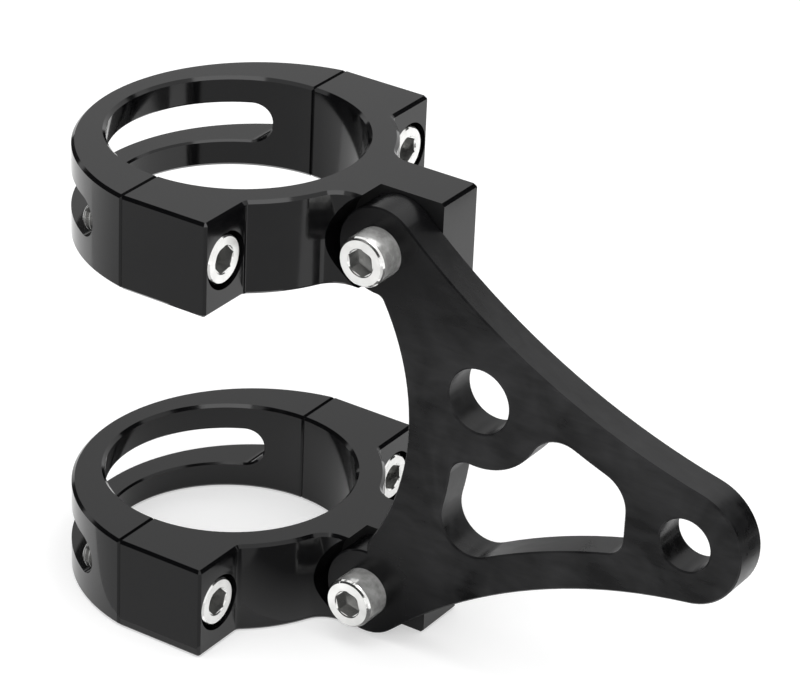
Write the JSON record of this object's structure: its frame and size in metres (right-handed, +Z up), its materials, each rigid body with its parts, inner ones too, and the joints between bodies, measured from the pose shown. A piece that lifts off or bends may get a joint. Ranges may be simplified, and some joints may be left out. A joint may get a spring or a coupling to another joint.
{
  "type": "headlight mounting bracket",
  "caption": "Motorbike fork bracket: split tube clamps with socket-head screws carry a flat, windowed side plate with a headlight hole at its nose and an indicator hole.",
  "frame": {"origin": "on the fork tube's axis, half way up the lower clamp", "axes": "+Z up the fork tube, +X forward from the tube to the headlight hole, +Y to the bike's left; the side plate is on the -Y side of the clamps"},
  "size_m": [0.1493, 0.0728, 0.0925],
  "materials": {
    "black_anodised": "machined, black anodised, satin",
    "bright_steel": "bright zinc-plated steel"
  },
  "bodies": {
    "root": {"side_plate": "black_anodised", "lower_clamp_body": "black_anodised", "lower_clamp_cap": "black_anodised", "upper_clamp_body": "black_anodised", "upper_clamp_cap": "black_anodised", "lower_clamp_screw_left": "bright_steel", "lower_clamp_screw_right": "bright_steel", "upper_clamp_screw_left": "bright_steel", "upper_clamp_screw_right": "bright_steel", "lower_plate_bolt": "bright_steel", "upper_plate_bolt": "bright_steel"}
  },
  "joints": []
}
